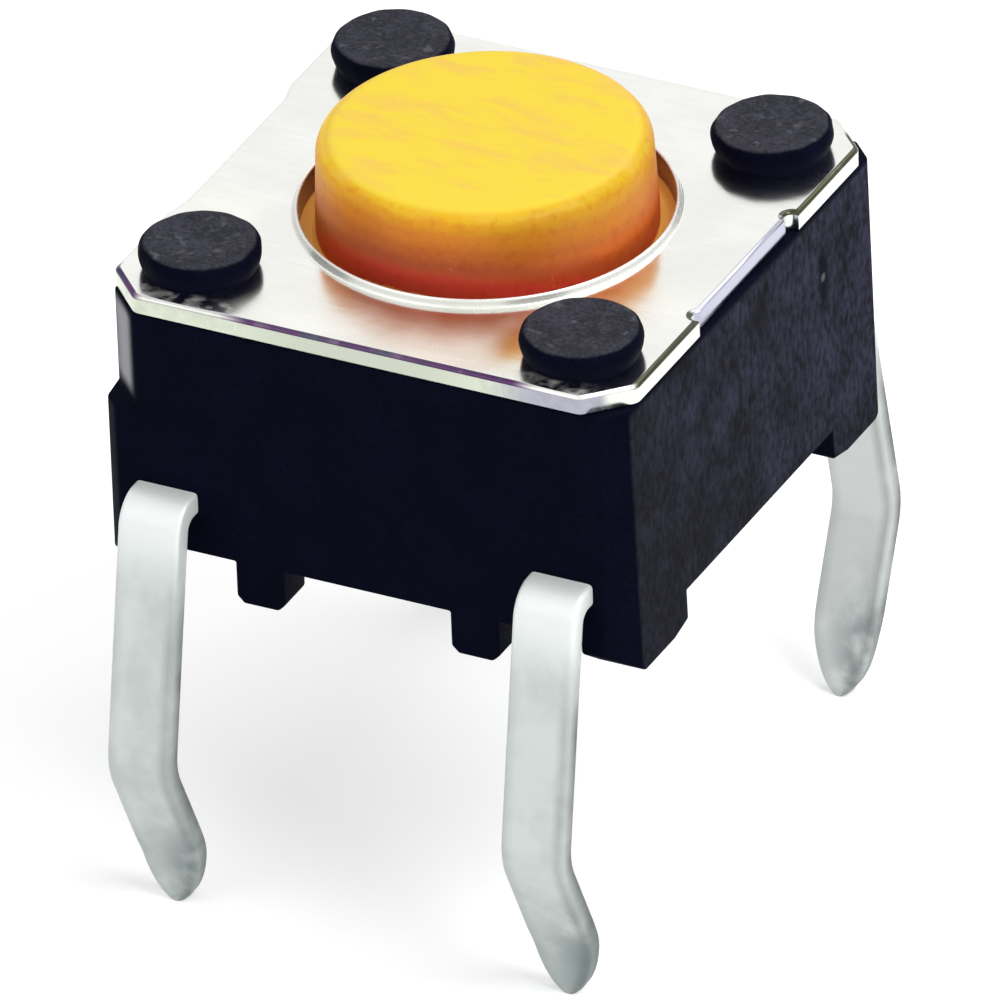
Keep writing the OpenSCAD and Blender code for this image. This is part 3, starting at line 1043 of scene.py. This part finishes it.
@dataclass
class Plunger(Piece):
    """The yellow button with its flange and stub."""

    button_r: float = 1.76
    top_r: float = 1.73
    rounding: float = 0.2
    flange_r: float = 2.25
    flange_low: float = 2.68
    stub_r: float = 0.65
    stub_low: float = 1.73
    edge: float = 0.08
    flange_edge: float = 0.02
    root_edge: float = 0.04
    middle_r: float = 0.5
    steps: int = 160

    def build(self) -> bpy.types.Object:
        """The button's mesh: see Piece.build."""
        edge = self.edge
        profile = [(0, self.stub_low), (self.stub_r - edge, self.stub_low), (self.stub_r, self.stub_low + edge),
                   (self.stub_r, self.flange_low), (self.flange_r - edge, self.flange_low)]
        profile += [(self.flange_r, self.flange_low + edge), (self.flange_r, PLATE_LOW - self.flange_edge),
                    (self.flange_r - self.flange_edge, PLATE_LOW), (self.button_r + self.root_edge, PLATE_LOW),
                    (self.button_r, PLATE_LOW + self.root_edge), (self.button_r, PLATE_TOP)]
        profile += arc((self.top_r - self.rounding, BUTTON_TOP - self.rounding), self.rounding, 0, 90, 10)
        profile += [(r, BUTTON_TOP) for r in (self.top_r - self.rounding - edge, self.middle_r, 0)]
        solid = Solid()
        solid.lathe(profile, steps=self.steps)
        return solid.mesh(self.node + "_button")


@dataclass
class Dome(Piece):
    """The thin sprung disc, which on the real switch flattens as the button goes down."""

    radius: float = 2.0
    height: float = 0.42
    thick: float = 0.07
    keep: float = 0.4
    steps: int = 96

    def build(self) -> bpy.types.Object:
        """The disc's mesh: see Piece.build."""
        ball = (self.radius ** 2 + self.height ** 2) / (2 * self.height)
        centre = (0.0, CAVITY_FLOOR + self.height - ball)
        profile: List[Point2] = []
        for radius, back in ((ball, False), (ball - self.thick, True)):
            rim = math.degrees(math.asin((ball - self.height) / radius))
            side = arc(centre, radius, 90, rim, BEND_STEPS)
            profile += reversed(side) if back else side
        solid = Solid()
        solid.lathe(profile, steps=self.steps)
        return solid.mesh(self.node + "_disc")

    def place(self) -> bpy.types.Object:
        """Sets the disc on its body and gives it a mesh of its own."""
        piece = super().place()
        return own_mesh(piece)


@dataclass
class Strip(Piece):
    """One stamped strip, which crosses the base and has a bent leg at each end."""

    side: int = -1
    width: float = 0.7
    thick: float = 0.25
    top_z: float = 1.2
    body_half: float = 3.0
    bend_r: float = 0.12
    stand_off: float = 0.2
    knee_out: float = 0.54
    knee_z: float = 1.72
    knee_r: float = 0.65
    knee_lean: float = 25.0
    toe_z: float = 3.0
    toe_r: float = 0.75
    toe_lean: float = 10.0
    length: float = 3.65
    taper: float = 0.95
    edge: float = 0.05
    edge_share: float = 0.45
    # Marks of painted shade: the stronger and the fainter one on the right edge's two corners, and the plain one on
    # the left edge.
    edge_shade: float = 1.0
    faint: float = 0.4
    plain: float = 0.15
    arm_w: float = 0.8
    arm_end: float = 0.3
    land: float = 0.2
    flare: float = 0.05
    contact_r: float = 0.35
    contact_steps: int = 48
    middle_z: float = 1.4
    rim_contact: Point2 = (1.708, 0.833)

    def middle(self) -> List[Tuple[Point2, Point2]]:
        """Middle line of one leg, from the middle of the strip down to the tip.

        Returns:
            For each point its place in Y and Z, and the direction out of its outer face.
        """
        mid_z, shoulder_r = self.top_z - self.thick / 2, self.bend_r + self.thick / 2
        out = math.degrees(math.atan(self.knee_out / (mid_z + self.knee_z)))
        shoulder = (self.body_half + self.stand_off - self.bend_r * cos(out), mid_z - shoulder_r)
        end = (shoulder[0] + shoulder_r * cos(out), shoulder[1] + shoulder_r * sin(out))
        knee = (end[0] + tan(out) * (end[1] + self.knee_z), -self.knee_z)
        toe = (knee[0] - tan(self.knee_lean) * (self.toe_z - self.knee_z), -self.toe_z)
        made = [((0.0, mid_z), (0.0, 1.0))]
        bends = [(shoulder, shoulder_r, 90, out)]
        for corner, radius, first, last in (
            (knee, self.knee_r, out, -self.knee_lean),
            (toe, -self.toe_r, -self.knee_lean, -self.toe_lean),
        ):
            run = radius * tan((first - last) / 2)
            centre = (corner[0] - run * sin(first) - radius * cos(first),
                      corner[1] + run * cos(first) - radius * sin(first))
            bends.append((centre, radius, first, last))
        for centre, radius, first, last in bends:
            made += zip(arc(centre, radius, first, last, BEND_STEPS), arc((0, 0), 1, first, last, BEND_STEPS))
        tip_y = toe[0] - tan(self.toe_lean) * (self.length - self.toe_z)
        return made + [((tip_y, -self.length), (1 / cos(self.toe_lean), 0.0))]

    def stations(self) -> List[Tuple[Point2, Point2, float]]:
        """Places where the leg's section is drawn, closer together where it narrows.

        Returns:
            For each station its place in Y and Z, the direction out of its outer face, and half its width.
        """
        line, half, start = self.middle(), self.width / 2, self.taper - self.length
        made = [(place, facing, half) for place, facing in line if place[1] > start]
        for i in range(TIP_STEPS + 1):
            turn = TIP_TURN * i / TIP_STEPS
            place, facing = self._level(line, start - self.taper * sin(turn))
            made.append((place, facing, half * cos(turn)))
        return made

    @staticmethod
    def _level(line: Sequence[Tuple[Point2, Point2]], z: float) -> Tuple[Point2, Point2]:
        """Place and facing where the middle line comes down through a height.

        Args:
            line: The middle line.
            z: The height.

        Returns:
            The place and the facing.
        """
        upper, lower = next(pair for pair in zip(line, line[1:]) if pair[1][0][1] < z)
        share = (upper[0][1] - z) / (upper[0][1] - lower[0][1])
        place, facing = (Vector(a).lerp(Vector(b), share) for a, b in zip(upper, lower))
        return (place.x, place.y), (facing.x, facing.y)

    def section(self, half: float, back: int) -> List[Tuple[float, float, float]]:
        """Rounded outline across the strip, with a darker corner on one side, where its mark paints shade.

        Args:
            half: Half of the strip's width.
            back: 1 where the outer face is at the back, and -1 where the inner face is.

        Returns:
            For each point its place across the strip, its place through it, and its mark.
        """
        soft = min(self.edge, self.edge_share * half)
        loop = [(-half, -self.thick / 2), (half, -self.thick / 2), (half, self.thick / 2), (-half, self.thick / 2)]
        made = []
        for x, s in softened(loop, soft, 3):
            made.append((x, s, self.plain if x <= 0 else self.edge_shade if s * back > 0 else self.faint))
        flat = max(half - 2.8 * soft, 0.3 * half)
        for at, sign in ((12, 1), (4, -1)):
            made[at:at] = [(sign * x, sign * self.thick / 2, 0.0) for x in (flat, -flat)]
        return made

    def legs(self, solid: Solid) -> None:
        """Adds the strip with both of its legs."""
        line = self.stations()
        mirrored = [((-y, z), (-ny, nz), half) for (y, z), (ny, nz), half in reversed(line[1:])]
        middle_x = self.side * LEG_PITCH / 2
        rings = []
        marks: List[float] = []
        for (y, z), (ny, nz), half in mirrored + line:
            outline = self.section(half, 1 if y > 0 else -1)
            rings.append(solid.ring([(middle_x + x, y + ny * s, z + nz * s) for x, s, _ in outline]))
            marks += [m for _, _, m in outline]
        solid.marks = marks
        solid.loft(rings)

    def contact(self, solid: Solid, x: float, y: float, top: float) -> None:
        """Adds one raised contact."""
        low = self.top_z - self.thick / 2
        side = [(self.contact_r + self.flare, low), (self.contact_r, top)]
        solid.lathe([(0, low), *side, (0, top)], (x, y), self.contact_steps)

    def build(self) -> bpy.types.Object:
        """The strip's mesh: see Piece.build."""
        solid = Solid()
        self.legs(solid)
        low, land = self.top_z - self.thick, self.contact_r + self.land
        inner = LEG_PITCH / 2 - self.width / 2
        if self.side < 0:
            arm, end = self.arm_w / 2, -self.arm_end
            solid.prism([(-inner, -arm), (end, -arm), (end, arm), (-inner, arm)], 2, low, self.top_z)
            disc = [(0, low), (land, low), (land, self.top_z), (0, self.top_z)]
            solid.lathe(disc, steps=self.contact_steps)
            self.contact(solid, 0, 0, self.middle_z)
        else:
            x, y = self.rim_contact
            reach = y + land
            solid.prism([(x - land, -reach), (inner, -reach), (inner, reach), (x - land, reach)], 2, low, self.top_z)
            for sign in (-1, 1):
                self.contact(solid, x, sign * y, CAVITY_FLOOR)
        return solid.mesh(self.node + "_strip")


# Stage


def background_rays(graph: Graph) -> Value:
    """1 for rays that show the background: from the camera, or by way of a mirror or glass."""
    outputs = graph.node("ShaderNodeLightPath").socket.node.outputs
    camera, glossy, clear = (
        Value(graph, outputs[name]) for name in ("Is Camera Ray", "Is Glossy Ray", "Is Transmission Ray"))
    return camera.larger(glossy).larger(clear)


@dataclass(frozen=True)
class FloorPaint(Finish):
    """Matt white, and a little whiter where it is looked at."""

    glow: float = 0.4

    def surface(self, graph: Graph, place: Value) -> Dict[str, Any]:
        """Varying inputs: see Finish.surface."""
        return {
            "Base Color": opaque(self.colour),
            "Roughness": self.roughness,
            "Emission Color": background_rays(graph).mix(BLACK, opaque([self.glow] * 3)),
            "Emission Strength": 1.0,
        }


@dataclass(frozen=True)
class Lamp:
    """A soft rectangular lamp, aimed at the middle of the switch."""

    name: str
    azimuth: float
    elevation: float
    distance: float
    size: float
    power: float
    colour: Point3 = (1.0, 1.0, 1.0)

    def place(self) -> bpy.types.Object:
        """Adds the lamp to the scene and gives it back."""
        back = heading(self.azimuth, self.elevation)
        data = bpy.data.lights.new(self.name, "AREA")
        data.energy, data.size, data.color = self.power, self.size * MM, self.colour
        made = linked(self.name, data)
        made.location = back * self.distance * MM
        made.rotation_mode = "QUATERNION"
        made.rotation_quaternion = (-back).to_track_quat("-Z", "Y")
        return made


@dataclass(frozen=True)
class Stage:
    """Floor, backdrop, lamps and camera."""

    azimuth: float = 28.096
    elevation: float = 31.596
    roll: float = -2.609
    pixels_per_mm: float = 97.787
    distance: float = 356.144
    shift_x: float = -3.359
    shift_y: float = -92.689
    pivot_z: float = 1.0
    frame_px: float = 1000.0
    sensor: float = 36.0
    clip: Point2 = (0.01, 10.0)
    floor_half: float = 1500.0
    ambient: float = 0.5
    lamps: Tuple[Lamp, ...] = field(default_factory=lambda: (
        Lamp("key", 75, 48, 260, 130, 0.34),
        Lamp("back", 165, 55, 260, 160, 0.16),
        Lamp("fill", -30, 40, 300, 200, 0.08),
    ))

    def camera(self) -> None:
        """Adds the camera at the photographed angle."""
        forward = -heading(self.azimuth, self.elevation)
        level = Vector((cos(self.azimuth), sin(self.azimuth), 0))
        up = level.cross(forward)
        right = cos(self.roll) * level + sin(self.roll) * up
        above = cos(self.roll) * up - sin(self.roll) * level
        aim = Vector((0, 0, self.pivot_z)) + (above * self.shift_y - right * self.shift_x) / self.pixels_per_mm
        data = bpy.data.cameras.new("camera")
        data.sensor_width = self.sensor
        data.lens = self.sensor * self.pixels_per_mm * self.distance / self.frame_px
        data.clip_start, data.clip_end = self.clip
        made = linked("camera", data)
        turn = Matrix((right, above, -forward)).transposed().to_4x4()
        made.matrix_world = Matrix.Translation((aim - forward * self.distance) * MM) @ turn
        bpy.context.scene.camera = made

    def world(self) -> None:
        """White to look at, and a soft even light."""
        made = bpy.data.worlds.new("studio")
        made.use_nodes = True
        bpy.context.scene.world = made
        graph = Graph(made.node_tree)
        colour = background_rays(graph).mix(opaque([self.ambient] * 3), WHITE)
        shader = graph.node("ShaderNodeBackground", None, {"Color": colour, "Strength": 1.0})
        graph.node("ShaderNodeOutputWorld", None, {"Surface": shader})

    def floor(self) -> None:
        """Wide white floor under the leg tips."""
        half = self.floor_half
        corners = ((-half, -half), (half, -half), (half, half), (-half, half))
        solid = Solid()
        solid.faces.append(tuple(solid.ring([(x, y, LEG_TIP) for x, y in corners])))
        made = solid.mesh("floor")
        made.data.transform(Matrix.Scale(MM, 4))
        made.data.materials.append(FloorPaint("floor_white", (0.9, 0.9, 0.9), 1.0, specular=0.0).material())
        made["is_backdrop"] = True

    def place(self) -> None:
        """Sets up everything round the switch."""
        self.camera()
        self.world()
        self.floor()
        for lamp in self.lamps:
            lamp.place()
        bpy.context.scene.view_settings.view_transform = "Standard"


def pieces() -> List[Piece]:
    """Every piece of the switch, in the order that it is put together."""
    black = Moulding("black_moulding", (5, 6, 20), 0.62, specular=0.02)
    tinned = Terminal("tinned_terminal", (214, 221, 218), 0.45, metallic=0.25)
    sprung = Sheet("sprung_sheet", (206, 204, 198), 0.22, metallic=1.0)
    yellow = ButtonPlastic("yellow_plastic", (244, 210, 52), 0.45, specular=0.22)
    bright = Plate("bright_plate", (248, 249, 244), 0.16, metallic=1.0)
    return [
        Base("base", Body.HOUSING, Slot.BODY, black),
        Strip("terminal_left", Body.HOUSING, Slot.TERMINAL, tinned, side=-1),
        Strip("terminal_right", Body.HOUSING, Slot.TERMINAL, tinned, side=1),
        Dome("contact_dome", Body.HOUSING, Slot.DOME, sprung),
        Plunger("plunger", Body.BUTTON, Slot.BUTTON, yellow),
        Cover("cover", Body.HOUSING, Slot.PLATE, bright),
    ]


def main() -> None:
    """Builds the switch, sets it on its stage and notes its size."""
    logging.basicConfig(level=logging.INFO, format="%(message)s")
    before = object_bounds()
    for piece in pieces():
        piece.place()
    Stage().place()
    sizes = {name: [list(corner) for corner in box] for name, box in (("frame", before), ("scene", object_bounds()))}
    log.info("frame %s, scene %s", sizes["frame"], sizes["scene"])


if __name__ == "__main__":
    main()
